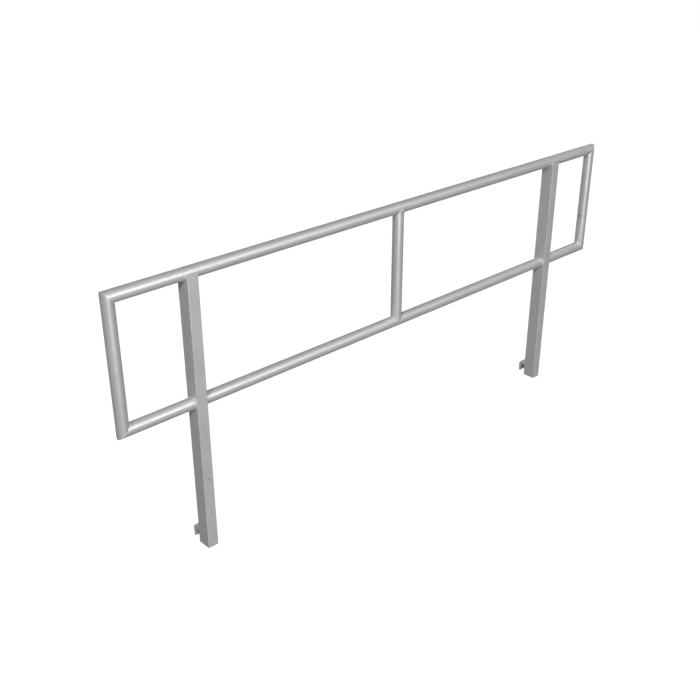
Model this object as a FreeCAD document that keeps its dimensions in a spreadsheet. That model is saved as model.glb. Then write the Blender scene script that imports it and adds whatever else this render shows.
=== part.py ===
import FreeCAD, Part
import math
import os

import Sketcher

# A drop-on barrier for the edge of a deck: a welded frame of round tube on two rectangular posts.
# Millimetres, +Z up. X runs along the rails. The posts stand in front of the deck's edge, on -Y, and their
# hooks reach back over it, towards +Y. The origin is at the feet, in the middle of the whole footprint.

doc = FreeCAD.newDocument("barrier")
Vector = FreeCAD.Vector
Rotation = FreeCAD.Rotation
X_AXIS = Vector(1, 0, 0)
Y_AXIS = Vector(0, 1, 0)

SIZES = (
    ("overall_length", 2440, "end to end, over the tubes"),
    ("overall_height", 1040, "feet to the top of the top rail"),
    ("bottom_rail_height", 570, "feet to the bottom rail's axis"),
    ("tube_od", 42.4, "outside diameter of every round tube"),
    ("tube_wall", 3, "wall of every round tube"),
    ("post_spacing", 1840, "between the posts' centres"),
    ("post_width", 41, "post, along X"),
    ("post_depth", 55, "post, along Y"),
    ("post_wall", 4, "wall of a post"),
    ("post_corner", 2, "outer corner radius of a post"),
    ("inner_corner", 0.8, "inner corner radius of a post"),
    ("feather_trim", 2, "taken off the thin edges of a coped end"),
    ("link_hole", 8.5, "cross hole in an end upright"),
    ("link_hole_height", 718, "feet to the cross hole's axis"),
    ("hook_reach", 29, "hook, out from the back of its post"),
    ("hook_thickness", 8, "hook's shelf and leg"),
    ("hook_top", 55, "feet to the top of the shelf"),
    ("hook_bottom", 14, "feet to the tip of the leg"),
    ("hook_root", 4, "radius inside the angle"),
    ("hook_edge", 1.2, "radius on the hook's outer edges"),
    ("rivet_height", 142, "feet to the lower rivet"),
    ("rivet_pitch", 137.5, "between a post's two rivets"),
    ("rivet_shank", 4.8, "rivet's body"),
    ("rivet_head", 9.5, "rivet's head"),
    ("rivet_head_height", 1.7, "rivet's head, above the post"),
    ("rivet_dome", 1.2, "radius round the head's rim"),
    ("rivet_core", 2.4, "hole left in a set rivet's head"),
    ("rivet_tail", 7, "rivet's upset end"),
    ("rivet_tail_length", 3, "rivet's upset end"),
    ("sleeve_bottom", 40, "feet to the sleeve's lower end"),
    ("sleeve_length", 300, "stiffening sleeve"),
    ("sleeve_wall", 3, "stiffening sleeve"),
    ("sleeve_gap", 0.3, "sleeve's clearance, a side"),
    ("plug_face", 4, "thickness of a plug's end"),
    ("plug_length", 26, "plug, end to end"),
    ("plug_wall", 2.5, "wall of a plug's skirt"),
    ("plug_fin", 1.2, "thickness of a fin round the skirt"),
    ("plug_fin_reach", 2.5, "how far a fin stands off the skirt"),
    ("plug_fin_pitch", 6, "from fin to fin"),
    ("corner_weld", 1.2, "corner weld, each side of the mitre"),
    ("rail_weld", 3.5, "leg of a fillet between tube and post"),
    ("saddle_weld", 3, "radius of the bead round a coped end"),
    ("hook_weld", 4, "leg of the fillet on top of a hook"),
    ("past_end", 10, "how far a cutting profile runs past the work"),
)

sizes = doc.addObject("Spreadsheet::Sheet", "Sizes")
for row, (alias, number, meaning) in enumerate(SIZES, start=1):
    sizes.set(f"A{row}", meaning)
    sizes.set(f"B{row}", str(number))
    sizes.setAlias(f"B{row}", alias)
doc.recompute()

# Lengths that follow from the sheet, as formulas
TUBE_R = "Sizes.tube_od / 2"
BORE_R = "(Sizes.tube_od / 2 - Sizes.tube_wall)"
FRAME_Y = "(-Sizes.hook_reach / 2)"
TOP_RAIL_Z = "(Sizes.overall_height - Sizes.tube_od / 2)"
END_X = "(Sizes.overall_length / 2 - Sizes.tube_od / 2)"
POST_X = "(Sizes.post_spacing / 2)"
INNER_WIDTH = "(Sizes.post_width - 2 * Sizes.post_wall)"
INNER_DEPTH = "(Sizes.post_depth - 2 * Sizes.post_wall)"
MITRE_SETBACK = "Sizes.corner_weld * sqrt(2)"
UPRIGHT_RISE = f"({TOP_RAIL_Z} - Sizes.bottom_rail_height)"
UPRIGHT_MIDDLE = f"({TOP_RAIL_Z} / 2 + Sizes.bottom_rail_height / 2)"
ROOM = "(4 * Sizes.tube_od)"

SIDES = (("left", -1), ("right", 1))
LEVELS = (("top", 1, TOP_RAIL_Z), ("bottom", -1, "Sizes.bottom_rail_height"))

parts = []


def value(formula):
    return float(sizes.evalExpression(str(formula)))


def place(item, x="0", y="0", z="0", rotation=None):
    if rotation is not None:
        item.Placement = FreeCAD.Placement(Vector(), rotation)
    for axis, formula in (("x", x), ("y", y), ("z", z)):
        item.setExpression(f"Placement.Base.{axis}", formula)
    return item


def new_body(name, x="0", y=FRAME_Y, z="0"):
    body = doc.addObject("PartDesign::Body", name)
    body.Label = name
    parts.append(body)
    return place(body, x, y, z)


def origin_plane(body, role):
    return next(item for item in body.Origin.OriginFeatures if item.Role == role)


def new_sketch(body, role, name, height=None):
    """A sketch on one of the body's own origin planes, raised off it by height."""
    sketch = body.newObject("Sketcher::SketchObject", f"{body.Label}_{name}")
    sketch.AttachmentSupport = (origin_plane(body, role), [""])
    sketch.MapMode = "FlatFace"
    if height is not None:
        sketch.setExpression("AttachmentOffset.Base.z", height)
    return sketch


def constrain(sketch, formula, *constraint):
    index = sketch.addConstraint(Sketcher.Constraint(*constraint, value(formula)))
    sketch.setExpression(f"Constraints[{index}]", str(formula))


def pin(sketch, item, point, u, v):
    """Holds a point of the sketch at (u, v) from the sketch's origin."""
    constrain(sketch, u, "DistanceX", -1, 1, item, point)
    constrain(sketch, v, "DistanceY", -1, 1, item, point)


def draw_circle(sketch, radius, u="0", v="0"):
    centre = Vector(value(u), value(v), 0)
    item = sketch.addGeometry(Part.Circle(centre, Vector(0, 0, 1), value(radius)))
    pin(sketch, item, 3, u, v)
    constrain(sketch, radius, "Radius", item)


def draw_polygon(sketch, corners):
    points = [Vector(value(u), value(v), 0) for u, v in corners]
    lines = [
        sketch.addGeometry(Part.LineSegment(start, end))
        for start, end in zip(points, points[1:] + points[:1])
    ]
    for line, following in zip(lines, lines[1:] + lines[:1]):
        sketch.addConstraint(Sketcher.Constraint("Coincident", line, 2, following, 1))
    for line, (u, v) in zip(lines, corners):
        pin(sketch, line, 1, u, v)


def draw_rounded_rectangle(sketch, width, depth, radius):
    """A rectangle about the origin: its sides in order from the lower one, an arc after each."""
    half_w, half_d, r = value(width) / 2, value(depth) / 2, value(radius)
    quarter = math.pi / 2
    ends = (
        (Vector(r - half_w, -half_d, 0), Vector(half_w - r, -half_d, 0)),
        (Vector(half_w, r - half_d, 0), Vector(half_w, half_d - r, 0)),
        (Vector(half_w - r, half_d, 0), Vector(r - half_w, half_d, 0)),
        (Vector(-half_w, half_d - r, 0), Vector(-half_w, r - half_d, 0)),
    )
    centres = (
        Vector(half_w - r, r - half_d, 0),
        Vector(half_w - r, half_d - r, 0),
        Vector(r - half_w, half_d - r, 0),
        Vector(r - half_w, r - half_d, 0),
    )
    sides = [sketch.addGeometry(Part.LineSegment(*pair)) for pair in ends]
    arcs = []
    for turn, centre in enumerate(centres):
        whole = Part.Circle(centre, Vector(0, 0, 1), r)
        start = (turn - 1) * quarter
        arcs.append(sketch.addGeometry(Part.ArcOfCircle(whole, start, start + quarter)))
    for side, arc, following in zip(sides, arcs, sides[1:] + sides[:1]):
        sketch.addConstraint(Sketcher.Constraint("Tangent", side, 2, arc, 1))
        sketch.addConstraint(Sketcher.Constraint("Tangent", arc, 2, following, 1))
    for side, direction in zip(sides, ("Horizontal", "Vertical") * 2):
        sketch.addConstraint(Sketcher.Constraint(direction, side))
    for arc in arcs[1:]:
        sketch.addConstraint(Sketcher.Constraint("Equal", arcs[0], arc))
    sketch.addConstraint(Sketcher.Constraint("Symmetric", arcs[0], 3, arcs[2], 3, -1, 1))
    constrain(sketch, radius, "Radius", arcs[0])
    constrain(sketch, width, "DistanceX", sides[3], 1, sides[1], 1)
    constrain(sketch, depth, "DistanceY", sides[0], 1, sides[2], 1)


def pad(body, sketch, length, symmetric=False):
    feature = body.newObject("PartDesign::Pad", f"{sketch.Name}_pad")
    feature.Profile = sketch
    feature.SideType = "Symmetric" if symmetric else "One side"
    feature.setExpression("Length", length)
    sketch.Visibility = False
    return feature


def pocket(body, sketch, both_ways=True, flipped=False):
    """Cuts the sketch right through the body, and stops the build if that removes nothing."""
    doc.recompute()
    before = body.Shape.Volume
    feature = body.newObject("PartDesign::Pocket", f"{sketch.Name}_pocket")
    feature.Profile = sketch
    feature.Type = "ThroughAll"
    feature.Midplane = both_ways
    feature.Reversed = flipped
    doc.recompute()
    if feature.Shape.Volume > before - 1e-3:
        raise RuntimeError(f"{feature.Name} cuts nothing")
    return feature


def revolve(body, sketch, axis="H_Axis"):
    feature = body.newObject("PartDesign::Revolution", f"{sketch.Name}_turned")
    feature.Profile = sketch
    feature.ReferenceAxis = (sketch, [axis])
    feature.Angle = 360
    return feature


def round_edges(body, base, radius, is_wanted):
    doc.recompute()
    names = [f"Edge{n}" for n, edge in enumerate(base.Shape.Edges, start=1) if is_wanted(edge)]
    feature = body.newObject("PartDesign::Fillet", f"{base.Name}_rounded")
    feature.Base = (base, names)
    feature.setExpression("Radius", radius)
    return feature


def runs_along(edge, axis):
    first, last = edge.Vertexes[0].Point, edge.Vertexes[-1].Point
    run = last - first
    return run.Length > 1e-6 and run.cross(axis).Length < 1e-6 * run.Length


# Round tube


def tube_body(name, role, length, x="0", z="0"):
    body = new_body(name, x, FRAME_Y, z)
    section = new_sketch(body, role, "section")
    draw_circle(section, TUBE_R)
    draw_circle(section, BORE_R)
    pad(body, section, length, symmetric=True)
    return body


def mitre(body, name, is_rail, side, level, corner_u, corner_v):
    """Cuts the tube's end on the corner's 45 degree plane, set back for the weld.

    side and level say which way the corner points along X and Z, and corner_u and corner_v where the two
    tubes' axes cross in the body's own XZ plane. A rail's far end lies below the plane, an upright's above.
    """
    reach = f"({TUBE_R} + Sizes.past_end)"
    lean = "1" if is_rail else "-1"
    back_u = f"{-side} * {MITRE_SETBACK}" if is_rail else "0"
    back_v = "0" if is_rail else f"{-level} * {MITRE_SETBACK}"
    outer = (
        f"{corner_u} + {side} * {reach} + {back_u}",
        f"{corner_v} + {level} * {reach} + {back_v}",
    )
    inner = (
        f"{corner_u} - {side} * {reach} + {back_u}",
        f"{corner_v} - {level} * {reach} + {back_v}",
    )
    far = (
        f"{corner_u} + {lean} * {side} * {reach}",
        f"{corner_v} - {lean} * {level} * {reach}",
    )
    cut = new_sketch(body, "XZ_Plane", name)
    draw_polygon(cut, (outer, inner, far))
    pocket(body, cut)


def build_top_rail():
    body = tube_body("top_rail", "YZ_Plane", "Sizes.overall_length", z=TOP_RAIL_Z)
    for name, side in SIDES:
        mitre(body, f"{name}_mitre", True, side, 1, f"{side} * {END_X}", "0")


def build_bottom_rail():
    """Three lengths: a mitred one outside each post, and one between the posts."""
    span = "Sizes.post_spacing - Sizes.post_width"
    tube_body("bottom_rail_centre", "YZ_Plane", span, z="Sizes.bottom_rail_height")
    post_face = f"({POST_X} + Sizes.post_width / 2)"
    run = f"(Sizes.overall_length / 2 - {post_face})"
    for name, side in SIDES:
        middle = f"({post_face} + {run} / 2)"
        body = tube_body(
            f"bottom_rail_{name}", "YZ_Plane", run, f"{side} * {middle}", "Sizes.bottom_rail_height"
        )
        mitre(body, "mitre", True, side, -1, f"{side} * ({END_X} - {middle})", "0")


def build_end_uprights():
    for name, side in SIDES:
        label = f"{name}_end_upright"
        length = f"{UPRIGHT_RISE} + Sizes.tube_od"
        body = tube_body(label, "XY_Plane", length, f"{side} * {END_X}", UPRIGHT_MIDDLE)
        for end, level, _ in LEVELS:
            mitre(body, f"{end}_mitre", False, side, level, "0", f"{level} * {UPRIGHT_RISE} / 2")
        hole = new_sketch(body, "YZ_Plane", "link_hole")
        draw_circle(hole, "Sizes.link_hole / 2", "0", f"Sizes.link_hole_height - {UPRIGHT_MIDDLE}")
        pocket(body, hole)


def build_centre_upright():
    """Coped over both rails, with the thin edges of the cope trimmed square."""
    length = f"{UPRIGHT_RISE} - 2 * Sizes.feather_trim"
    body = tube_body("centre_upright", "XY_Plane", length, z=UPRIGHT_MIDDLE)
    for end, level, _ in LEVELS:
        cope = new_sketch(body, "YZ_Plane", f"{end}_cope")
        draw_circle(cope, TUBE_R, "0", f"{level} * {UPRIGHT_RISE} / 2")
        pocket(body, cope)


# Posts and what is fixed to them


def rivet_holes(body, face_height="0"):
    """Two holes through the body's front wall only, for the rivets."""
    holes = new_sketch(body, "XZ_Plane", "rivet_holes")
    for extra in ("0", "Sizes.rivet_pitch"):
        draw_circle(holes, "Sizes.rivet_shank / 2", "0", f"Sizes.rivet_height + {extra} - {face_height}")
    pocket(body, holes, both_ways=False, flipped=True)


def build_post(name, side):
    body = new_body(f"{name}_post", f"{side} * {POST_X}")
    section = new_sketch(body, "XY_Plane", "section")
    draw_rounded_rectangle(section, "Sizes.post_width", "Sizes.post_depth", "Sizes.post_corner")
    draw_rounded_rectangle(section, INNER_WIDTH, INNER_DEPTH, "Sizes.inner_corner")
    pad(body, section, TOP_RAIL_Z)
    notch = new_sketch(body, "YZ_Plane", "rail_notch")
    draw_circle(notch, TUBE_R, "0", TOP_RAIL_Z)
    pocket(body, notch)
    rivet_holes(body)


def build_sleeve(name, side):
    """Lies against the inside of the post's front wall, and just clear of the other three."""
    body = new_body(
        f"{name}_post_sleeve", f"{side} * {POST_X}", f"{FRAME_Y} - Sizes.sleeve_gap", "Sizes.sleeve_bottom"
    )
    section = new_sketch(body, "XY_Plane", "section")
    width = f"({INNER_WIDTH} - 2 * Sizes.sleeve_gap)"
    depth = f"({INNER_DEPTH} - 2 * Sizes.sleeve_gap)"
    draw_rounded_rectangle(section, width, depth, "Sizes.sleeve_wall")
    thick = "2 * Sizes.sleeve_wall"
    draw_rounded_rectangle(section, f"{width} - {thick}", f"{depth} - {thick}", "Sizes.inner_corner")
    pad(body, section, "Sizes.sleeve_length")
    rivet_holes(body, "Sizes.sleeve_bottom")


def build_rivets(name, side):
    """Turned about Y: a domed head on the post's face, the body, and the upset end inside the sleeve."""
    face = f"{FRAME_Y} - Sizes.post_depth / 2"
    body = new_body(f"{name}_post_rivets", f"{side} * {POST_X}", face, "Sizes.rivet_height")
    body.AllowCompound = True
    grip = "(Sizes.post_wall + Sizes.sleeve_wall)"
    tail_end = f"({grip} + Sizes.rivet_tail_length)"
    profile = new_sketch(body, "XY_Plane", "profile")
    draw_polygon(
        profile,
        (
            ("0", "0"),
            ("Sizes.rivet_core / 2", "0"),
            ("Sizes.rivet_core / 2", "-Sizes.rivet_head_height"),
            ("Sizes.rivet_head / 2", "-Sizes.rivet_head_height"),
            ("Sizes.rivet_head / 2", "0"),
            ("Sizes.rivet_shank / 2", "0"),
            ("Sizes.rivet_shank / 2", grip),
            ("Sizes.rivet_tail / 2", grip),
            ("Sizes.rivet_tail / 2", tail_end),
            ("0", tail_end),
        ),
    )
    turned = revolve(body, profile, "V_Axis")
    rim = value("Sizes.rivet_head / 2")
    top = value("-Sizes.rivet_head_height")

    def is_head_rim(edge):
        on_top = abs(edge.BoundBox.YMin - top) < 1e-6 and abs(edge.BoundBox.YMax - top) < 1e-6
        return on_top and abs(edge.BoundBox.XMax - rim) < 1e-3

    round_edges(body, turned, "Sizes.rivet_dome", is_head_rim)
    pair = body.newObject("PartDesign::LinearPattern", f"{body.Label}_pair")
    pair.TransformMode = "Whole shape"
    pair.Direction = (next(f for f in body.Origin.OriginFeatures if f.Role == "Z_Axis"), [""])
    pair.Mode = "Spacing"
    pair.Occurrences = 2
    pair.setExpression("Offset", "Sizes.rivet_pitch")
    body.Tip = pair


def build_plug(name, side):
    """A push-in end plug: a face flush with the foot, a skirt, and fins that grip the post's walls."""
    body = new_body(f"{name}_foot_plug", f"{side} * {POST_X}")
    face = new_sketch(body, "XY_Plane", "face")
    draw_rounded_rectangle(face, INNER_WIDTH, INNER_DEPTH, "Sizes.inner_corner")
    pad(body, face, "Sizes.plug_face")
    skirt_width = f"({INNER_WIDTH} - 2 * Sizes.plug_fin_reach)"
    skirt_depth = f"({INNER_DEPTH} - 2 * Sizes.plug_fin_reach)"
    hollow_width = f"{skirt_width} - 2 * Sizes.plug_wall"
    hollow_depth = f"{skirt_depth} - 2 * Sizes.plug_wall"
    skirt = new_sketch(body, "XY_Plane", "skirt", "Sizes.plug_face")
    draw_rounded_rectangle(skirt, skirt_width, skirt_depth, "Sizes.inner_corner")
    draw_rounded_rectangle(skirt, hollow_width, hollow_depth, "Sizes.inner_corner")
    pad(body, skirt, "Sizes.plug_length - Sizes.plug_face")
    for number in (1, 2, 3):
        height = f"{number} * Sizes.plug_fin_pitch + Sizes.plug_fin"
        fin = new_sketch(body, "XY_Plane", f"fin_{number}", height)
        draw_rounded_rectangle(fin, INNER_WIDTH, INNER_DEPTH, "Sizes.inner_corner")
        draw_rounded_rectangle(fin, skirt_width, skirt_depth, "Sizes.inner_corner")
        pad(body, fin, "Sizes.plug_fin")


def build_hook(name, side):
    """An angle, cut from extruded section: the shelf stands off the post, and the leg hangs from it."""
    body = new_body(f"{name}_hook", f"{side} * {POST_X}", f"{FRAME_Y} + Sizes.post_depth / 2")
    section = new_sketch(body, "YZ_Plane", "section")
    leg_inside = "Sizes.hook_reach - Sizes.hook_thickness"
    shelf_underside = "Sizes.hook_top - Sizes.hook_thickness"
    draw_polygon(
        section,
        (
            ("0", "Sizes.hook_top"),
            ("0", shelf_underside),
            (leg_inside, shelf_underside),
            (leg_inside, "Sizes.hook_bottom"),
            ("Sizes.hook_reach", "Sizes.hook_bottom"),
            ("Sizes.hook_reach", "Sizes.hook_top"),
        ),
    )
    angle = pad(body, section, "Sizes.post_width", symmetric=True)
    root_y, root_z = value(leg_inside), value(shelf_underside)

    def is_root(edge):
        point = edge.CenterOfMass
        return runs_along(edge, X_AXIS) and abs(point.y - root_y) < 1e-6 and abs(point.z - root_z) < 1e-6

    def is_outer(edge):
        return runs_along(edge, X_AXIS) and edge.CenterOfMass.y > value("Sizes.hook_thickness")

    rooted = round_edges(body, angle, "Sizes.hook_root", is_root)
    tips = (value("Sizes.hook_bottom"), value("Sizes.hook_top"))
    round_edges(
        body,
        rooted,
        "Sizes.hook_edge",
        lambda edge: is_outer(edge) and min(abs(edge.CenterOfMass.z - tip) for tip in tips) < 1e-6,
    )


# Welds


def build_hook_weld(name, side):
    """The fillet along the top of the hook, on the flat of the post's back."""
    body = new_body(f"{name}_hook_weld", f"{side} * {POST_X}", f"{FRAME_Y} + Sizes.post_depth / 2")
    section = new_sketch(body, "YZ_Plane", "section")
    draw_polygon(
        section,
        (
            ("0", "Sizes.hook_top"),
            ("Sizes.hook_weld", "Sizes.hook_top"),
            ("0", "Sizes.hook_top + Sizes.hook_weld"),
        ),
    )
    pad(body, section, "Sizes.post_width - 2 * Sizes.post_corner", symmetric=True)


def build_rail_welds(name, side):
    """The fillets where the bottom rail meets the post, on the post's outer and inner sides."""
    for place_name, outward in (("outer", side), ("inner", -side)):
        face = f"{side} * {POST_X} + {outward} * Sizes.post_width / 2"
        label = f"{name}_post_{place_name}_rail_weld"
        body = new_body(label, face, z="Sizes.bottom_rail_height")
        section = new_sketch(body, "XZ_Plane", "section")
        draw_polygon(
            section,
            (
                ("0", TUBE_R),
                (f"{outward} * Sizes.rail_weld", TUBE_R),
                ("0", f"{TUBE_R} + Sizes.rail_weld"),
            ),
        )
        revolve(body, section)


def cylinder(name, radius, length, centre, rotation, centred=True):
    """A cylinder whose axis is Z turned by rotation, through the centre that three formulas give."""
    item = doc.addObject("Part::Cylinder", name)
    item.setExpression("Radius", radius)
    item.setExpression("Height", length)
    axis = rotation.multVec(Vector(0, 0, 1))
    back = f"({length}) / 2" if centred else "0"
    x, y, z = (f"{formula} - {part:.9f} * {back}" for formula, part in zip(centre, axis))
    return place(item, x, y, z, rotation)


def cutting_block(name, x, y, z):
    """A cube larger than any joint, up and back from a corner."""
    item = doc.addObject("Part::Box", name)
    for edge_name in ("Length", "Width", "Height"):
        item.setExpression(edge_name, ROOM)
    return place(item, x, y, z)


def cut(name, base, tool):
    item = doc.addObject("Part::Cut", name)
    item.Base = base
    item.Tool = tool
    return item


def common(name, base, tool):
    item = doc.addObject("Part::Common", name)
    item.Base = base
    item.Tool = tool
    return item


def fuse(name, items):
    item = doc.addObject("Part::MultiFuse", name)
    item.Shapes = items
    item.Refine = True
    return item


ALONG_X = Rotation(Y_AXIS, 90)
ALONG_Z = Rotation()


def build_corner_weld(name, side, end, level, rail_height):
    """Weld metal dressed flush: two slices of tube, one each side of the corner's 45 degree plane."""
    label = f"{end}_{name}_corner_weld"
    centre = (f"{side} * {END_X}", FRAME_Y, rail_height)
    to_rail = Vector(-side, 0, level)
    slices = []
    for tube_name, rotation, towards in (
        ("rail", ALONG_X, to_rail),
        ("upright", ALONG_Z, -to_rail),
    ):
        outside = cylinder(f"{label}_{tube_name}_outside", TUBE_R, ROOM, centre, rotation)
        bore = cylinder(f"{label}_{tube_name}_bore", BORE_R, ROOM, centre, rotation)
        wall = cut(f"{label}_{tube_name}_wall", outside, bore)
        facing = Rotation(Vector(0, 0, 1), towards)
        gap = cylinder(
            f"{label}_{tube_name}_gap", "Sizes.tube_od", "Sizes.corner_weld", centre, facing, centred=False
        )
        slices.append(common(f"{label}_{tube_name}_slice", wall, gap))
    weld = fuse(label, slices)
    weld.Label = label
    parts.append(weld)


def build_saddle_weld(end, level, rail_height):
    """The bead round a coped end: what lies within the bead's size of both tubes, and outside them."""
    label = f"centre_upright_{end}_weld"
    centre = ("0", FRAME_Y, rail_height)
    tubes = (("rail", ALONG_X), ("upright", ALONG_Z))
    swollen = [
        cylinder(f"{label}_round_{tube}", f"{TUBE_R} + Sizes.saddle_weld", ROOM, centre, rotation)
        for tube, rotation in tubes
    ]
    weld = common(f"{label}_both", *swollen)
    for tube, rotation in tubes:
        inside = cylinder(f"{label}_{tube}", TUBE_R, ROOM, centre, rotation)
        weld = cut(f"{label}_less_{tube}", weld, inside)
    low_z = rail_height if level > 0 else f"{rail_height} - {ROOM}"
    beyond = cutting_block(f"{label}_beyond", f"-{ROOM} / 2", f"{FRAME_Y} - {ROOM} / 2", low_z)
    weld = cut(label, weld, beyond)
    weld.Label = label
    parts.append(weld)


def build_post_top_weld(name, side):
    """One run all round the notch: a half ring against each side of the post, joined over its front and
    back walls by a straight fillet between the wall's top edge and the rail."""
    label = f"{name}_post_top_weld"
    pieces = []
    leg = "Sizes.rail_weld"
    for place_name, outward in (("outer", side), ("inner", -side)):
        cone = doc.addObject("Part::Cone", f"{label}_{place_name}_ring")
        cone.setExpression("Radius1", f"{TUBE_R} + {leg}")
        cone.setExpression("Radius2", TUBE_R)
        cone.setExpression("Height", leg)
        face = f"{side} * {POST_X} + {outward} * Sizes.post_width / 2"
        place(cone, face, FRAME_Y, TOP_RAIL_Z, Rotation(Y_AXIS, 90 * outward))
        corner = (f"{face} - {ROOM} / 2", f"{FRAME_Y} - {ROOM} / 2", TOP_RAIL_Z)
        above = cutting_block(f"{label}_{place_name}_above", *corner)
        pieces.append(cut(f"{label}_{place_name}_half_ring", cone, above))
    for place_name, way in (("front", -1), ("back", 1)):
        fillet = doc.addObject("Part::Wedge", f"{label}_{place_name}_fillet")
        half = f"(Sizes.post_width / 2 + {leg})"
        ends = {
            "Xmin": f"-({TUBE_R} + {leg})",
            "Xmax": "0",
            "X2min": f"-({TUBE_R} - {leg} / 4)",
            "X2max": "0",
            "Ymin": "0",
            "Ymax": leg,
            "Zmin": f"-{half}",
            "Zmax": half,
            "Z2min": f"-{half}",
            "Z2max": half,
        }
        for key, formula in ends.items():
            fillet.setExpression(key, formula)
        turn = Rotation(Vector(0, -way, 0), Vector(0, 0, 1), Vector(-way, 0, 0), "XYZ")
        place(fillet, f"{side} * {POST_X}", FRAME_Y, TOP_RAIL_Z, turn)
        pieces.append(fillet)
    whole = fuse(f"{label}_run", pieces)
    centre = (f"{side} * {POST_X}", FRAME_Y, TOP_RAIL_Z)
    rail = cylinder(f"{label}_rail", TUBE_R, ROOM, centre, ALONG_X)
    weld = cut(label, whole, rail)
    weld.Label = label
    parts.append(weld)


build_top_rail()
build_bottom_rail()
build_end_uprights()
build_centre_upright()
for side_name, side in SIDES:
    build_post(side_name, side)
    build_sleeve(side_name, side)
    build_rivets(side_name, side)
    build_plug(side_name, side)
    build_hook(side_name, side)
    build_hook_weld(side_name, side)
    build_rail_welds(side_name, side)
    build_post_top_weld(side_name, side)
    for end, level, rail_height in LEVELS:
        build_corner_weld(side_name, side, end, level, rail_height)
for end, level, rail_height in LEVELS:
    build_saddle_weld(end, level, rail_height)
doc.recompute()

for item in doc.Objects:
    if "Invalid" in item.State or "Error" in item.State:
        raise RuntimeError(f"{item.Label} failed: {item.State}")
os.makedirs("parts", exist_ok=True)
for item in parts:
    if item.Shape.isNull() or not item.Shape.isValid():
        raise RuntimeError(f"{item.Label} has no valid shape")
    item.Shape.exportStep(f"parts/{item.Label}.step")
    box = item.Shape.BoundBox
    print(f"{item.Label}: {len(item.Shape.Solids)} solid, {item.Shape.Volume:.0f} mm3, "
          f"{box.XLength:.1f} x {box.YLength:.1f} x {box.ZLength:.1f}")
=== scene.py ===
"""The looks of a deck-edge barrier: weld beads, rivet stems, finishes, and the studio it stands in."""
from math import cos, pi, radians, sin
from random import Random

import bpy
from mathutils import Matrix, Vector


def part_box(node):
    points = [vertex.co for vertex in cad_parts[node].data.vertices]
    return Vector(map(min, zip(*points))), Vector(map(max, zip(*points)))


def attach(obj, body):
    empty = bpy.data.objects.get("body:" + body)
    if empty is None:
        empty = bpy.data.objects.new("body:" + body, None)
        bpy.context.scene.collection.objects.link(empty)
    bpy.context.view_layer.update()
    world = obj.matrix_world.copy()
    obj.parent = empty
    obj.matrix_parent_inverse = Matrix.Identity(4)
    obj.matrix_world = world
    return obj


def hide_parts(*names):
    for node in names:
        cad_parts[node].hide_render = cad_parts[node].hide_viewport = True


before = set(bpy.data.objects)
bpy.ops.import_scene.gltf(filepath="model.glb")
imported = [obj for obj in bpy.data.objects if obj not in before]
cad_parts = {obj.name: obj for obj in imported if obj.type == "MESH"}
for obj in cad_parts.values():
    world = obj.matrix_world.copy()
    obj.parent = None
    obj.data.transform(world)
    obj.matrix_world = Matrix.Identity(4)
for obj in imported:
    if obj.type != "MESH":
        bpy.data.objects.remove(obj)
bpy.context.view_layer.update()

MM = 0.001
SIDES = (("left", -1), ("right", 1))


# ---------------------------------------------------------------- sizes, read from the frame

def middle(node):
    """The centre of a node's box."""
    low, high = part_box(node)
    return (low + high) / 2


def extent(node):
    low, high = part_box(node)
    return high - low


TUBE_R = extent("centre_upright").x / 2
RAIL_Y = middle("centre_upright").y
TOP_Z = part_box("top_rail")[1].z - TUBE_R
BOTTOM_Z = middle("bottom_rail_centre").z
END_X = middle("right_end_upright").x
POST_X = middle("right_post").x
POST_HALF = extent("right_post").x / 2
POST_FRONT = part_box("right_post")[0].y
POST_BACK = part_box("right_post")[1].y
POST_Y = (POST_FRONT + POST_BACK) / 2
POST_HALF_DEPTH = (POST_BACK - POST_FRONT) / 2
HOOK_MIDDLE = middle("right_hook")
HOOK_HALF = extent("right_hook") / 2
HOOK_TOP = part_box("right_hook")[1].z
RIVET_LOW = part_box("right_post_rivets")[0]
RIVET_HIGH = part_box("right_post_rivets")[1]


# ---------------------------------------------------------------- modelling by hand

def deselect_all():
    if bpy.context.mode != "OBJECT":
        bpy.ops.object.mode_set(mode="OBJECT")
    bpy.ops.object.select_all(action="DESELECT")


def choose(objects):
    """Selects these objects and makes the first one active."""
    deselect_all()
    for piece in objects:
        piece.select_set(True)
    bpy.context.view_layer.objects.active = objects[0]


def add_modifier(piece, kind, **settings):
    modifier = piece.modifiers.new(kind.title(), kind)
    for name, setting in settings.items():
        setattr(modifier, name, setting)
    choose([piece])
    bpy.ops.object.modifier_apply(modifier=modifier.name)


def make_puddle():
    """One frozen puddle of weld metal: steep in front, drawn out behind, 1 m across until it is copied."""
    deselect_all()
    bpy.ops.mesh.primitive_uv_sphere_add(segments=20, ring_count=12, radius=1, rotation=(0, pi / 2, 0))
    puddle = bpy.context.object
    puddle.name = "puddle"
    bpy.ops.object.transform_apply(location=False, rotation=True, scale=False)
    bpy.ops.object.mode_set(mode="EDIT")
    for ahead, stretch in ((True, 0.42), (False, 1.15)):
        bpy.ops.mesh.select_all(action="DESELECT")
        bpy.ops.object.mode_set(mode="OBJECT")
        for vertex in puddle.data.vertices:
            vertex.select = (vertex.co.x > 1e-4) if ahead else (vertex.co.x < -1e-4)
        bpy.ops.object.mode_set(mode="EDIT")
        bpy.ops.transform.resize(value=(stretch, 1, 1), center_override=(0, 0, 0))
    bpy.ops.object.mode_set(mode="OBJECT")
    return puddle


# ---------------------------------------------------------------- weld beads

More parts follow.
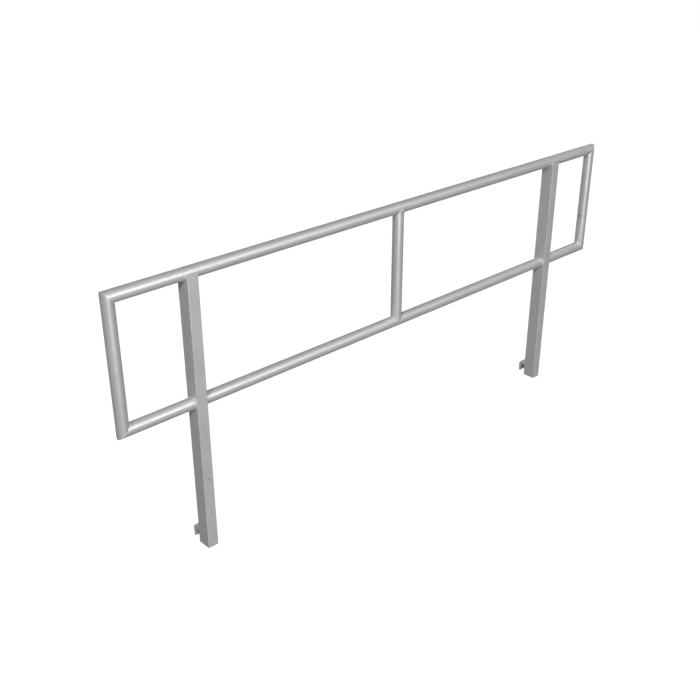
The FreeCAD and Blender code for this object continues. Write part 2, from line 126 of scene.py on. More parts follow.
PUDDLE_PITCH = 0.62      # of a puddle's radius, so that each covers most of the one before
PITCH_SLIP = 0.06        # of a step, how unevenly the welder's hand moves along
PUDDLE_SWELL = (0.95, 1.06)  # smallest and largest, beside an even puddle
PUDDLE_WOBBLE = 0.07     # of a puddle's radius, to either side
END_SWELL = 0.86         # the first and last puddles of an open bead are smaller
FEWEST_PUDDLES = 4
BEAD_LEAN = -24          # degrees that each puddle leans back towards the start
BEAD_VOXEL = 0.38 * MM   # how finely the puddles are fused
BEAD_SIZE = 2.5 * MM     # radius of a puddle
BEAD_OUT = 0.75 * MM     # how far a bead's middle stands off the corner it fills
RING_START = radians(200)
RING_STEPS = 72
NOTCH_STEPS = 20
LIP_SHARE = 0.85         # of a post's half width, where the bead turns off along a lip


def copy_puddles(puddle, route, closed, size, chance):
    """Copies the puddle along a route of (point, outward direction) pairs, each overlapping the last."""
    points = [Vector(point) for point, _ in route]
    legs = len(points) if closed else len(points) - 1
    lengths = [(points[(i + 1) % len(points)] - points[i]).length for i in range(legs)]
    count = max(FEWEST_PUDDLES, round(sum(lengths) / (PUDDLE_PITCH * size)))
    step = sum(lengths) / (count if closed else count - 1)
    lean = Matrix.Rotation(radians(BEAD_LEAN), 3, "Y")
    copies = []
    leg = 0
    passed = 0.0
    for number in range(count):
        along = number * step + chance.uniform(-PITCH_SLIP, PITCH_SLIP) * step * (0 < number < count - 1)
        while leg < legs - 1 and along > passed + lengths[leg]:
            passed += lengths[leg]
            leg += 1
        share = min(1.0, max(0.0, (along - passed) / lengths[leg]))
        ahead = (leg + 1) % len(points)
        place = points[leg].lerp(points[ahead], share)
        tangent = (points[ahead] - points[leg]).normalized()
        outward = Vector(route[leg][1]).lerp(Vector(route[ahead][1]), share)
        outward = (outward - tangent * outward.dot(tangent)).normalized()
        swell = size * chance.uniform(*PUDDLE_SWELL)
        if not closed and number in (0, count - 1):
            swell *= END_SWELL
        turn = Matrix((tangent, outward.cross(tangent), outward)).transposed() @ lean
        wobble = outward.cross(tangent) * chance.uniform(-PUDDLE_WOBBLE, PUDDLE_WOBBLE) * size
        copy = puddle.copy()
        copy.data = puddle.data.copy()
        bpy.context.collection.objects.link(copy)
        copy.matrix_world = Matrix.LocRotScale(place + wobble, turn.to_quaternion(), Vector((swell,) * 3))
        copies.append(copy)
    return copies


def lay_bead(weld, route, size, seed, puddle, closed=True):
    """Fuses a row of puddles into one rippled bead, which stands for the plain CAD weld."""
    choose(copy_puddles(puddle, route, closed, size, Random(seed)))
    bpy.ops.object.join()
    bead = bpy.context.object
    bead.name = f"{weld}_bead"
    bead.data.name = bead.name
    bpy.ops.object.transform_apply(location=True, rotation=True, scale=True)
    add_modifier(bead, "REMESH", mode="VOXEL", voxel_size=BEAD_VOXEL, use_smooth_shade=True)
    add_modifier(bead, "SMOOTH", factor=0.4, iterations=2)
    choose([bead])
    bpy.ops.object.shade_smooth()
    bead.data.materials.clear()
    bead.data.materials.append(finishes["weld_metal"])
    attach(bead, "root")
    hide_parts(f"{weld}_weld")


def ring_route(x, side):
    """Round a rail where it meets a post's side face, from a little below the middle of its front."""
    route = []
    for number in range(RING_STEPS):
        angle = RING_START + 2 * pi * number / RING_STEPS
        radial = Vector((0, cos(angle), sin(angle)))
        outward = (radial + Vector((side, 0, 0))).normalized()
        corner = Vector((x, RAIL_Y, BOTTOM_Z)) + radial * TUBE_R
        route.append((corner + outward * BEAD_OUT, outward))
    return route


def saddle_route(height, level):
    """Round the centre upright where it meets a rail of its own diameter: two half ellipses."""
    route = []
    for number in range(RING_STEPS):
        angle = 2 * pi * number / RING_STEPS
        x = TUBE_R * cos(angle)
        y = TUBE_R * sin(angle)
        from_upright = Vector((cos(angle), sin(angle), 0))
        from_rail = Vector((0, sin(angle), -level * abs(cos(angle))))
        outward = (from_upright + from_rail).normalized()
        corner = Vector((x, RAIL_Y + y, height - level * abs(x)))
        route.append((corner + outward * BEAD_OUT * abs(cos(angle)) ** 0.5, outward))
    return route


def notch_route(post_x):
    """Round the top rail in a post's notched top: two half circles, and the lips between them."""
    route = []
    centre = Vector((post_x, RAIL_Y, TOP_Z))
    for face, back_first in ((1, True), (-1, False)):
        for number in range(NOTCH_STEPS + 1):
            angle = -pi * number / NOTCH_STEPS if back_first else -pi + pi * number / NOTCH_STEPS
            radial = Vector((0, cos(angle), sin(angle)))
            outward = (radial + Vector((face, 0, 0))).normalized()
            corner = centre + Vector((face * POST_HALF, 0, 0)) + radial * TUBE_R
            route.append((corner + outward * BEAD_OUT, outward))
        lip = Vector((0, -1 if back_first else 1, 0))
        outward = (lip + Vector((0, 0, 1))).normalized()
        for share in (LIP_SHARE, -LIP_SHARE):
            corner = centre + Vector((face * share * POST_HALF, 0, 0)) + lip * TUBE_R
            route.append((corner + outward * BEAD_OUT, outward))
    return route


def hook_route(side):
    """Along the hook's top, against the back of the post."""
    low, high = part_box(f"{side}_hook_weld")
    outward = Vector((0, 1, 1)).normalized()
    margin = 1.2 * MM
    ends = (Vector((x, low.y, low.z)) for x in (low.x + margin, high.x - margin))
    return [(end + outward * BEAD_OUT, outward) for end in ends]


def weld_everything():
    puddle = make_puddle()
    for number, (name, side) in enumerate(SIDES):
        for where, direction in (("outer", side), ("inner", -side)):
            face = side * POST_X + direction * POST_HALF
            seed = 10 + 2 * number + (direction > 0)
            lay_bead(f"{name}_post_{where}_rail", ring_route(face, direction), BEAD_SIZE, seed, puddle)
        lay_bead(f"{name}_post_top", notch_route(side * POST_X), BEAD_SIZE * 0.92, 20 + number, puddle)
        lay_bead(f"{name}_hook", hook_route(name), BEAD_SIZE * 1.1, 30 + number, puddle, closed=False)
    for number, (end, height, level) in enumerate((("top", TOP_Z, 1), ("bottom", BOTTOM_Z, -1))):
        route = saddle_route(height, level)
        lay_bead(f"centre_upright_{end}", route, BEAD_SIZE * 0.85, 40 + number, puddle)
    bpy.data.objects.remove(puddle)


# ---------------------------------------------------------------- rivet stems

STEM_RADIUS = 1.12 * MM
STEM_LENGTH = 1.2 * MM
STEM_SUNK = 0.45 * MM    # how far the broken end lies below the rivet's head


def snap_stem(name, x, y, z):
    """A short round stem along Y, its front end cupped where it broke."""
    deselect_all()
    bpy.ops.mesh.primitive_cylinder_add(
        vertices=28, radius=STEM_RADIUS, depth=STEM_LENGTH, location=(x, y, z), rotation=(pi / 2, 0, 0),
    )
    stem = bpy.context.object
    stem.name = name
    stem.data.name = name
    bpy.ops.object.transform_apply(location=True, rotation=True, scale=True)
    bpy.ops.object.mode_set(mode="EDIT")
    bpy.ops.mesh.select_mode(type="FACE")
    bpy.ops.mesh.select_all(action="DESELECT")
    bpy.ops.object.mode_set(mode="OBJECT")
    for face in stem.data.polygons:
        face.select = face.normal.y < -0.9
    bpy.ops.object.mode_set(mode="EDIT")
    bpy.ops.mesh.inset(thickness=STEM_RADIUS * 0.3, depth=0)
    bpy.ops.mesh.inset(thickness=STEM_RADIUS * 0.25, depth=-STEM_RADIUS * 0.35)
    bpy.ops.object.mode_set(mode="OBJECT")
    add_modifier(stem, "BEVEL", width=0.08 * MM, segments=2, limit_method="ANGLE")
    choose([stem])
    bpy.ops.object.shade_smooth_by_angle(angle=radians(35))
    stem.data.materials.append(finishes["rivet_stem"])
    return stem


def add_rivet_stems():
    """The snapped end of the pulling stem inside each rivet's head."""
    for name, side in SIDES:
        head_radius = extent(f"{name}_post_rivets").x / 2
        for place, z in (("lower", RIVET_LOW.z + head_radius), ("upper", RIVET_HIGH.z - head_radius)):
            y = RIVET_LOW.y + STEM_SUNK + STEM_LENGTH / 2
            stem = snap_stem(f"{name}_post_{place}_rivet_stem", side * POST_X, y, z)
            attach(stem, "root")


# ---------------------------------------------------------------- wiring of materials

def add(tree, kind, **settings):
    node = tree.nodes.new(kind)
    for name, setting in settings.items():
        setattr(node, name, setting)
    return node


def feed(tree, socket, source):
    """A socket takes another node's output, or a plain value."""
    if isinstance(source, bpy.types.NodeSocket):
        tree.links.new(source, socket)
    else:
        socket.default_value = source


def calc(tree, operation, first, second=0.0, third=0.0):
    node = add(tree, "ShaderNodeMath", operation=operation)
    for socket, source in zip(node.inputs, (first, second, third)):
        feed(tree, socket, source)
    return node.outputs[0]


def fade(tree, value, start, end, low=0.0, high=1.0):
    """A smooth step from low at start to high at end."""
    node = add(tree, "ShaderNodeMapRange", interpolation_type="SMOOTHSTEP")
    for socket, source in zip(node.inputs, (value, start, end, low, high)):
        feed(tree, socket, source)
    return node.outputs[0]


def blend(tree, factor, first, second):
    node = add(tree, "ShaderNodeMix", data_type="RGBA")
    feed(tree, node.inputs[0], factor)
    feed(tree, node.inputs[6], first)
    feed(tree, node.inputs[7], second)
    return node.outputs[2]


def parts(tree, vector):
    node = add(tree, "ShaderNodeSeparateXYZ")
    tree.links.new(vector, node.inputs[0])
    return node.outputs


def multiplied(tree, vector, factors):
    node = add(tree, "ShaderNodeVectorMath", operation="MULTIPLY")
    tree.links.new(vector, node.inputs[0])
    feed(tree, node.inputs[1], factors)
    return node.outputs[0]


def noise(tree, vector, scale, detail=2.0, roughness=0.5):
    node = add(tree, "ShaderNodeTexNoise")
    tree.links.new(vector, node.inputs["Vector"])
    node.inputs["Scale"].default_value = scale
    node.inputs["Detail"].default_value = detail
    node.inputs["Roughness"].default_value = roughness
    return node.outputs[0]


def apart(tree, first, second):
    """How far apart two values are."""
    return calc(tree, "ABSOLUTE", calc(tree, "SUBTRACT", first, second))


def combine(tree, operation, values):
    """Folds several values into one, such as their MINIMUM."""
    result = values[0]
    for value in values[1:]:
        result = calc(tree, operation, result, value)
    return result


def tint(tree, colour, mask, amount, shade):
    """Lays a shade over a colour where a mask is, as strongly as amount."""
    return blend(tree, calc(tree, "MULTIPLY", mask, amount), colour, shade)


def new_group(name, inputs, outputs):
    """A shader group with (name, type, value) inputs and (name, type) outputs, and its two ends."""
    tree = bpy.data.node_groups.new(name, "ShaderNodeTree")
    for label, kind, setting in inputs:
        socket = tree.interface.new_socket(name=label, in_out="INPUT", socket_type=f"NodeSocket{kind}")
        if setting is not None:
            socket.default_value = setting
    for label, kind in outputs:
        tree.interface.new_socket(name=label, in_out="OUTPUT", socket_type=f"NodeSocket{kind}")
    return tree, add(tree, "NodeGroupInput").outputs, add(tree, "NodeGroupOutput").inputs


def use(tree, group, **inputs):
    """Places a group in a material; the names of its inputs have _ for a space."""
    node = add(tree, "ShaderNodeGroup", node_tree=bpy.data.node_groups[group])
    for name, source in inputs.items():
        feed(tree, node.inputs[name.replace("_", " ")], source)
    return node.outputs


# ---------------------------------------------------------------- effects that several finishes share

def make_drawn_grain():
    """Lines that the die leaves along a drawn or extruded length, fine ones and broad ones."""
    tree, given, result = new_group(
        "drawn_grain",
        (("Vector", "Vector", None), ("Squeeze", "Vector", (1, 1, 1))),
        (("Fine", "Float"), ("Broad", "Float")),
    )
    squeezed = multiplied(tree, given["Vector"], given["Squeeze"])
    tree.links.new(noise(tree, squeezed, 1900, 3, 0.6), result["Fine"])
    tree.links.new(noise(tree, squeezed, 260, 2, 0.5), result["Broad"])


def make_handling():
    """What years of loading and stacking leave: cloudy smears, sparse scratches, and small pits."""
    tree, given, result = new_group(
        "handling",
        (("Vector", "Vector", None),),
        (("Smears", "Float"), ("Scratches", "Float"), ("Pits", "Float")),
    )
    vector = given["Vector"]
    clouds = noise(tree, vector, 16, 4, 0.6)
    tree.links.new(fade(tree, clouds, 0.38, 0.68), result["Smears"])
    strokes = []
    for turn, squeeze, threshold in (
        ((0.5, 0.3, 0.9), (0.06, 1, 1), 0.70),
        ((-0.7, 1.0, -0.4), (1, 0.05, 1), 0.71),
        ((1.2, -0.6, 0.2), (1, 1, 0.06), 0.70),
    ):
        mapping = add(tree, "ShaderNodeMapping")
        tree.links.new(vector, mapping.inputs["Vector"])
        mapping.inputs["Rotation"].default_value = turn
        squeezed = multiplied(tree, mapping.outputs[0], squeeze)
        strokes.append(fade(tree, noise(tree, squeezed, 950, 1, 0.4), threshold, threshold + 0.035))
    scratches = combine(tree, "MAXIMUM", strokes)
    patches = fade(tree, noise(tree, vector, 34, 2, 0.5), 0.52, 0.66)
    tree.links.new(calc(tree, "MULTIPLY", scratches, patches), result["Scratches"])
    specks = fade(tree, noise(tree, vector, 1500, 4, 0.7), 0.655, 0.70)
    few = fade(tree, noise(tree, vector, 60, 2, 0.5), 0.50, 0.64)
    tree.links.new(calc(tree, "MULTIPLY", specks, few), result["Pits"])


def make_weld_halo():
    """Beside a weld: a pale band that the arc cleaned, and a thin line of grey soot at its edge."""
    tree, given, result = new_group(
        "weld_halo",
        (("Vector", "Vector", None), ("Distance", "Float", 1.0)),
        (("Cleaned", "Float"), ("Soot", "Float")),
    )
    ragged = calc(tree, "MULTIPLY_ADD", noise(tree, given["Vector"], 180, 3, 0.6), 5 * MM, -2.5 * MM)
    away = calc(tree, "ADD", given["Distance"], ragged)
    tree.links.new(fade(tree, away, 4.5 * MM, 7.5 * MM, 1, 0), result["Cleaned"])
    rising = fade(tree, away, 5 * MM, 7.5 * MM)
    falling = fade(tree, away, 8 * MM, 14 * MM, 1, 0)
    tree.links.new(calc(tree, "MULTIPLY", rising, falling), result["Soot"])


def make_worn_edges():
    """The corners of a box-shaped piece, rubbed bright; the vector starts from the box's centre."""
    tree, given, result = new_group(
        "worn_edges",
        (
            ("Vector", "Vector", None), ("Half Width", "Float", 1.0), ("Half Depth", "Float", 1.0),
            ("Half Height", "Float", 1.0), ("Reach", "Float", 2 * MM),
        ),
        (("Worn", "Float"),),
    )
    near = []
    for axis, half in zip(parts(tree, given["Vector"]), ("Half Width", "Half Depth", "Half Height")):
        inside = calc(tree, "SUBTRACT", given[half], calc(tree, "ABSOLUTE", axis))
        near.append(fade(tree, inside, 0.0, given["Reach"], 1, 0))
    corners = [calc(tree, "MULTIPLY", near[i], near[j]) for i, j in ((0, 1), (1, 2), (0, 2))]
    edges = combine(tree, "MAXIMUM", corners)
    broken = fade(tree, noise(tree, given["Vector"], 120, 3, 0.6), 0.35, 0.62, 0.25, 1)
    tree.links.new(calc(tree, "MULTIPLY", edges, broken), result["Worn"])


SLANT = sin(radians(45))  # mitres and saddles both cut across a tube at 45 degrees


def make_frame_welds():
    """How far a point on the rails or the uprights is from the nearest weld."""
    tree, given, result = new_group("frame_welds", (("Vector", "Vector", None),), (("Distance", "Float"),))
    x, _, z = parts(tree, given["Vector"])
    across = calc(tree, "ABSOLUTE", x)
    from_end = calc(tree, "SUBTRACT", across, END_X)
    below_top = calc(tree, "SUBTRACT", TOP_Z, z)
    above_bottom = calc(tree, "SUBTRACT", z, BOTTOM_Z)
    distances = []
    for gap in (below_top, above_bottom):
        too_far = calc(tree, "SUBTRACT", calc(tree, "ABSOLUTE", gap), 2 * TUBE_R)
        mitre = calc(tree, "MULTIPLY", calc(tree, "ABSOLUTE", calc(tree, "ADD", from_end, gap)), SLANT)
        saddle = calc(tree, "MULTIPLY", apart(tree, gap, across), SLANT)
        distances.append(calc(tree, "MAXIMUM", mitre, too_far))
        distances.append(calc(tree, "MAXIMUM", saddle, too_far))
    side_face = apart(tree, apart(tree, across, POST_X), POST_HALF)
    over_the_notch = calc(tree, "SUBTRACT", -4 * MM, below_top)
    distances.append(calc(tree, "MAXIMUM", side_face, over_the_notch))
    tree.links.new(combine(tree, "MINIMUM", distances), result["Distance"])


def make_post_welds():
    """How far a point on a post's side faces is from the welds round the rails and along the hook."""
    tree, given, result = new_group("post_welds", (("Vector", "Vector", None),), (("Distance", "Float"),))
    _, y, z = parts(tree, given["Vector"])
    from_rail = calc(tree, "SUBTRACT", y, RAIL_Y)
    rings = []
    for height in (TOP_Z, BOTTOM_Z):
        rise = calc(tree, "SUBTRACT", z, height)
        square_rise = calc(tree, "MULTIPLY", rise, rise)
        squares = calc(tree, "ADD", square_rise, calc(tree, "MULTIPLY", from_rail, from_rail))
        rings.append(apart(tree, calc(tree, "SQRT", squares), TUBE_R))
    behind = calc(tree, "MULTIPLY", apart(tree, y, POST_BACK), 20)
    hook = calc(tree, "ADD", apart(tree, z, HOOK_TOP), behind)
    from_middle = apart(tree, y, POST_Y)
    on_face = fade(tree, from_middle, POST_HALF_DEPTH - 2.5 * MM, POST_HALF_DEPTH - 1.5 * MM)
    rails = calc(tree, "ADD", combine(tree, "MINIMUM", rings), on_face)
    tree.links.new(calc(tree, "MINIMUM", rails, hook), result["Distance"])


# ---------------------------------------------------------------- finishes

METAL = 0.6              # how metallic the satin surfaces look
ALONG_X = (0.012, 1, 1)  # draws a pattern out along X
ALONG_Z = (1, 1, 0.012)


def new_finish(name):
    """A material with its shader and its Object coordinates."""
    material = bpy.data.materials.new(name)
    material.use_nodes = True
    tree = material.node_tree
    shader = tree.nodes["Principled BSDF"]
    return material, tree, shader, add(tree, "ShaderNodeTexCoord").outputs["Object"]


def bump(tree, shader, height, distance, strength=1.0):
    node = add(tree, "ShaderNodeBump")
    node.inputs["Strength"].default_value = strength
    node.inputs["Distance"].default_value = distance
    feed(tree, node.inputs["Height"], height)
    tree.links.new(node.outputs[0], shader.inputs["Normal"])


def grey(tone, warmth=0.0):
    return (tone * (1 + warmth), tone, tone * (1 - warmth), 1)


def aluminium(name, tone, squeeze, metal, rough, grain, welds=None, edges=None):
    """Satin aluminium: grain along its length, smears, scratches, halos beside welds, rubbed corners."""
    material, tree, shader, place = new_finish(name)
    lines = use(tree, "drawn_grain", Vector=place, Squeeze=squeeze)
    marks = use(tree, "handling", Vector=place)
    shade = calc(tree, "MULTIPLY_ADD", lines["Broad"], 0.10 * grain, -0.05 * grain)
    shade = calc(tree, "MULTIPLY_ADD", lines["Fine"], 0.12 * grain, shade)
    shade = fade(tree, shade, -0.1, 0.2)
    colour = blend(tree, shade, grey(tone * 0.93), grey(tone * 1.05))
    colour = tint(tree, colour, marks["Smears"], 0.22, grey(tone * 0.90, 0.01))
    colour = tint(tree, colour, marks["Scratches"], 0.22, grey(min(0.95, tone * 1.25)))
    colour = tint(tree, colour, marks["Pits"], 0.35, grey(tone * 0.6))
    gloss = calc(tree, "MULTIPLY_ADD", lines["Fine"], 0.10, rough - 0.05)
    gloss = calc(tree, "MULTIPLY_ADD", marks["Smears"], 0.07, gloss)
    gloss = calc(tree, "MULTIPLY_ADD", marks["Scratches"], -0.06, gloss)
    height = calc(tree, "MULTIPLY_ADD", lines["Fine"], 0.5, calc(tree, "MULTIPLY", marks["Scratches"], -0.9))
    height = calc(tree, "MULTIPLY_ADD", marks["Pits"], -1.0, height)
    if welds:
        distance = use(tree, welds, Vector=place)["Distance"]
        halo = use(tree, "weld_halo", Vector=place, Distance=distance)
        colour = tint(tree, colour, halo["Soot"], 0.14, grey(tone * 0.55, 0.03))
        colour = tint(tree, colour, halo["Cleaned"], 0.16, grey(min(0.9, tone * 1.12)))
        gloss = calc(tree, "MULTIPLY_ADD", halo["Cleaned"], 0.06, gloss)
    if edges:
        worn = edges(tree, place)
        colour = tint(tree, colour, worn, 0.5, grey(min(0.92, tone * 1.25)))
        gloss = calc(tree, "MULTIPLY_ADD", worn, -0.12, gloss)
    feed(tree, shader.inputs["Base Color"], colour)
    feed(tree, shader.inputs["Roughness"], gloss)
    shader.inputs["Metallic"].default_value = metal
    bump(tree, shader, height, 0.04 * MM, 0.6)
    return material


def centred(tree, place, centre):
    node = add(tree, "ShaderNodeMapping")
    tree.links.new(place, node.inputs["Vector"])
    node.inputs["Location"].default_value = [-value for value in centre]
    return node.outputs[0]


def post_edges(side):
    """Rubbed corners of one post."""
    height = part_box("right_post")[1].z

    def edges(tree, place):
        vector = centred(tree, place, (side * POST_X, POST_Y, height / 2))
        return use(
            tree, "worn_edges", Vector=vector, Half_Width=POST_HALF, Half_Depth=POST_HALF_DEPTH,
            Half_Height=height / 2, Reach=3.2 * MM,
        )["Worn"]

    return edges


def hook_edges(side):
    """Rubbed corners of one hook."""
    def edges(tree, place):
        vector = centred(tree, place, (side * POST_X, HOOK_MIDDLE.y, HOOK_MIDDLE.z))
        return use(
            tree, "worn_edges", Vector=vector, Half_Width=HOOK_HALF.x, Half_Depth=HOOK_HALF.y,
            Half_Height=HOOK_HALF.z, Reach=2.4 * MM,
        )["Worn"]

    return edges


def weld_metal():
    """Bright frozen metal, frosted between its ripples, with fine specks of soot."""
    material, tree, shader, place = new_finish("weld_metal")
    frost = fade(tree, noise(tree, place, 700, 3, 0.6), 0.42, 0.62)
    specks = fade(tree, noise(tree, place, 2300, 2, 0.5), 0.63, 0.70)
    drift = fade(tree, noise(tree, place, 90, 2, 0.5), 0.35, 0.7)
    colour = blend(tree, frost, grey(0.42), grey(0.54))
    colour = tint(tree, colour, drift, 0.3, grey(0.34, 0.02))
    colour = tint(tree, colour, specks, 0.55, grey(0.16, 0.03))
    feed(tree, shader.inputs["Base Color"], colour)
    feed(tree, shader.inputs["Roughness"], calc(tree, "MULTIPLY_ADD", frost, 0.14, 0.48))
    shader.inputs["Metallic"].default_value = METAL
    bump(tree, shader, frost, 0.05 * MM, 0.5)
    return material


def dressed_weld():
    """Weld metal ground flush and flap-disc sanded: short arcs that cross each other."""
    material, tree, shader, place = new_finish("dressed_weld")
    marks = use(tree, "handling", Vector=place)
    sanding = []
    for turn in ((0.0, 0.75, 0.3), (0.4, -0.55, 0.0)):
        mapping = add(tree, "ShaderNodeMapping")
        tree.links.new(place, mapping.inputs["Vector"])
        mapping.inputs["Rotation"].default_value = turn
        sanding.append(noise(tree, multiplied(tree, mapping.outputs[0], (0.05, 1, 1)), 2600, 2, 0.6))
    lines = calc(tree, "MULTIPLY", calc(tree, "ADD", sanding[0], sanding[1]), 0.5)
    colour = blend(tree, fade(tree, lines, 0.38, 0.62), grey(0.57), grey(0.64))
    colour = tint(tree, colour, marks["Smears"], 0.2, grey(0.54, 0.01))
    feed(tree, shader.inputs["Base Color"], colour)
    feed(tree, shader.inputs["Roughness"], calc(tree, "MULTIPLY_ADD", lines, 0.12, 0.34))
    shader.inputs["Metallic"].default_value = METAL
    bump(tree, shader, lines, 0.05 * MM, 0.6)
    return material


def rivet_metal(name, tone, rough, metal):
    """Stamped metal: a fine tumbled surface, darker in its dents."""
    material, tree, shader, place = new_finish(name)
    tumbled = noise(tree, place, 1500, 3, 0.6)
    dents = fade(tree, noise(tree, place, 520, 2, 0.5), 0.55, 0.68)
    colour = blend(tree, fade(tree, tumbled, 0.35, 0.65), grey(tone * 0.9), grey(tone * 1.08))
    colour = tint(tree, colour, dents, 0.4, grey(tone * 0.55, 0.02))
    feed(tree, shader.inputs["Base Color"], colour)
    feed(tree, shader.inputs["Roughness"], calc(tree, "MULTIPLY_ADD", tumbled, 0.16, rough - 0.08))
    shader.inputs["Metallic"].default_value = metal
    bump(tree, shader, calc(tree, "SUBTRACT", tumbled, dents), 0.05 * MM, 0.5)
    return material


def moulded_plastic():
    """Black plug plastic with a fine spark-eroded texture, scuffed grey where it stands on the floor."""
    material, tree, shader, place = new_finish("plug_plastic")
    texture = noise(tree, place, 1400, 3, 0.65)
    scuffs = fade(tree, noise(tree, place, 260, 4, 0.7), 0.5, 0.68)
    low = fade(tree, parts(tree, place)[2], 0.0, 2.5 * MM, 1, 0)
    worn = calc(tree, "MULTIPLY", scuffs, low)
    colour = blend(tree, texture, grey(0.022), grey(0.042))
    colour = tint(tree, colour, worn, 0.6, grey(0.17, 0.02))
    feed(tree, shader.inputs["Base Color"], colour)
    feed(tree, shader.inputs["Roughness"], calc(tree, "MULTIPLY_ADD", worn, 0.2, 0.52))
    bump(tree, shader, texture, 0.06 * MM, 0.6)
    return material


def make_finishes():
    make_drawn_grain()
    make_handling()
    make_weld_halo()
    make_worn_edges()
    make_frame_welds()
    make_post_welds()
    made = {
        "rail": aluminium("rail_tube", 0.60, ALONG_X, METAL, 0.40, 1.0, welds="frame_welds"),
        "upright": aluminium("upright_tube", 0.60, ALONG_Z, METAL, 0.34, 1.0, welds="frame_welds"),
        "sleeve": aluminium("sleeve", 0.52, ALONG_Z, METAL, 0.45, 1.2),
        "weld_metal": weld_metal(),
        "dressed_weld": dressed_weld(),
        "rivet": rivet_metal("rivet", 0.43, 0.46, METAL),
        "rivet_stem": rivet_metal("rivet_stem", 0.30, 0.45, 0.9),
        "plug_plastic": moulded_plastic(),
    }
    for name, side in SIDES:
        made[f"{name}_post"] = aluminium(
            f"{name}_post", 0.56, ALONG_Z, METAL, 0.48, 1.2, welds="post_welds", edges=post_edges(side)
        )
        made[f"{name}_hook"] = aluminium(
            f"{name}_hook", 0.54, ALONG_X, METAL, 0.46, 1.3, welds="post_welds", edges=hook_edges(side)
        )
    return made


def finish_for(node):
    if node.endswith("corner_weld"):
        return "dressed_weld"
    if node.endswith("rivets"):
        return "rivet"
    if node.endswith("plug"):
        return "plug_plastic"
    if node.endswith("sleeve"):
        return "sleeve"
    if node.endswith("upright"):
        return "upright"
    if "rail" in node and not node.endswith("weld"):
        return "rail"
    if node in finishes:
        return node
    return "weld_metal"


# ---------------------------------------------------------------- studio

FLOOR_TONE = 0.12        # how much light the floor throws back up at the barrier
FLOOR_GLOW = 0.97        # how white the camera sees it
ROOM_SIDES = 0.08        # the room's light, level with the barrier
ROOM_ABOVE = 0.24        # and from overhead


def aim(thing, target):
    thing.rotation_euler = (Vector(target) - thing.location).to_track_quat("-Z", "Y").to_euler()


def add_camera():
    data = bpy.data.cameras.new("camera")
    data.lens = 49.58
    data.sensor_width = 36
    data.clip_end = 100
    camera = bpy.data.objects.new("camera", data)
    camera.location = (-2.42837, -2.34787, 2.11542)
    camera.rotation_euler = (radians(63.547), 0, radians(-43.147))
    bpy.context.collection.objects.link(camera)
    bpy.context.scene.camera = camera


def add_softbox(name, turn, rise, distance, size, power):
    """A round softbox aimed at the barrier's middle: turn is degrees round from the front to the left."""
    data = bpy.data.lights.new(name, "AREA")
    data.shape = "DISK"
    data.size = size
    data.energy = power
    light = bpy.data.objects.new(name, data)
    middle_height = (TOP_Z + BOTTOM_Z) / 2
    target = Vector((0, RAIL_Y, middle_height))
    across = cos(radians(rise))
    direction = Vector((-sin(radians(turn)) * across, -cos(radians(turn)) * across, sin(radians(rise))))
    light.location = target + direction * distance
    light.visible_camera = False
    bpy.context.collection.objects.link(light)
    aim(light, target)


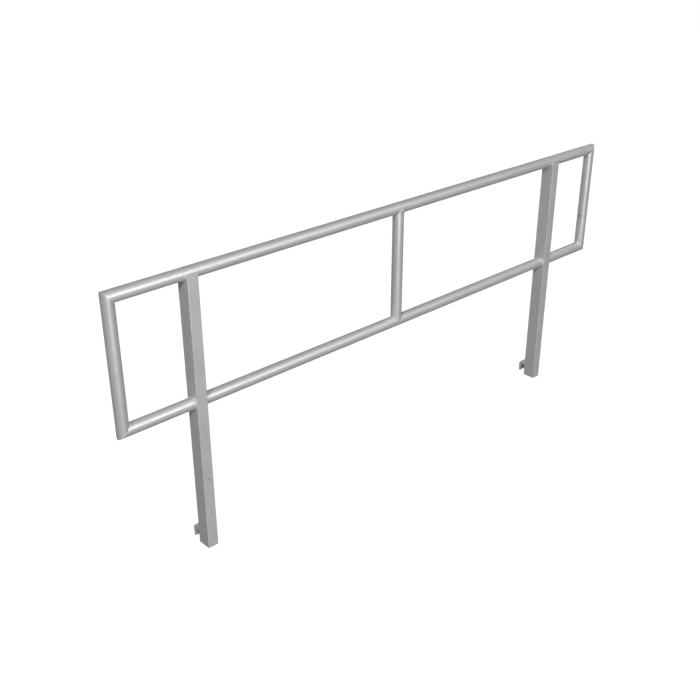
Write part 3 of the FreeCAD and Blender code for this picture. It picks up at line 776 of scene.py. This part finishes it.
def add_floor():
    """A floor that the camera sees nearly white, though it throws little light back up at the barrier."""
    deselect_all()
    bpy.ops.mesh.primitive_plane_add(size=60, location=(0, 0, 0))
    floor = bpy.context.object
    floor.name = "floor"
    material = bpy.data.materials.new("floor")
    material.use_nodes = True
    tree = material.node_tree
    tree.nodes.clear()
    matt = add(tree, "ShaderNodeBsdfDiffuse")
    matt.inputs["Color"].default_value = grey(FLOOR_TONE)
    lit = add(tree, "ShaderNodeEmission")
    lit.inputs["Color"].default_value = grey(1.0)
    seen = add(tree, "ShaderNodeLightPath").outputs["Is Camera Ray"]
    tree.links.new(calc(tree, "MULTIPLY", seen, FLOOR_GLOW), lit.inputs["Strength"])
    both = add(tree, "ShaderNodeAddShader")
    tree.links.new(matt.outputs[0], both.inputs[0])
    tree.links.new(lit.outputs[0], both.inputs[1])
    tree.links.new(both.outputs[0], add(tree, "ShaderNodeOutputMaterial").inputs["Surface"])
    floor.data.materials.append(material)


def add_backdrop():
    """White where the camera sees it; as a light, a dim room that is brighter overhead."""
    world = bpy.data.worlds.new("studio")
    bpy.context.scene.world = world
    world.use_nodes = True
    tree = world.node_tree
    tree.nodes.clear()
    seen = add(tree, "ShaderNodeBackground")
    seen.inputs["Strength"].default_value = 1.0
    seen.inputs["Color"].default_value = grey(1.0)
    lighting = add(tree, "ShaderNodeBackground")
    upward = add(tree, "ShaderNodeSeparateXYZ")
    tree.links.new(add(tree, "ShaderNodeTexCoord").outputs["Generated"], upward.inputs[0])
    feed(tree, lighting.inputs["Strength"], fade(tree, upward.outputs[2], 0, 0.9, ROOM_SIDES, ROOM_ABOVE))
    lighting.inputs["Color"].default_value = grey(1.0)
    choice = add(tree, "ShaderNodeMixShader")
    feed(tree, choice.inputs[0], add(tree, "ShaderNodeLightPath").outputs["Is Camera Ray"])
    tree.links.new(lighting.outputs[0], choice.inputs[1])
    tree.links.new(seen.outputs[0], choice.inputs[2])
    tree.links.new(choice.outputs[0], add(tree, "ShaderNodeOutputWorld").inputs["Surface"])


def light_studio():
    add_softbox("high_key", turn=31, rise=40, distance=12, size=2.4, power=230)
    add_softbox("low_key", turn=20, rise=3, distance=12, size=2.2, power=760)
    add_softbox("left_side", turn=62, rise=30, distance=12, size=2.0, power=830)
    add_softbox("right_front", turn=-18, rise=22, distance=12, size=3.0, power=330)
    add_softbox("right_side", turn=-40, rise=42, distance=9, size=5.0, power=66)
    add_softbox("right_end", turn=-105, rise=10, distance=12, size=3.0, power=280)
    add_softbox("behind", turn=176, rise=10, distance=12, size=4.0, power=700)


# ---------------------------------------------------------------- the barrier

bpy.context.scene.view_settings.view_transform = "Standard"
finishes = make_finishes()
for node_name, node_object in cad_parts.items():
    node_object.data.materials.clear()
    node_object.data.materials.append(finishes[finish_for(node_name)])
weld_everything()
add_rivet_stems()
add_camera()
add_floor()
add_backdrop()
light_studio()
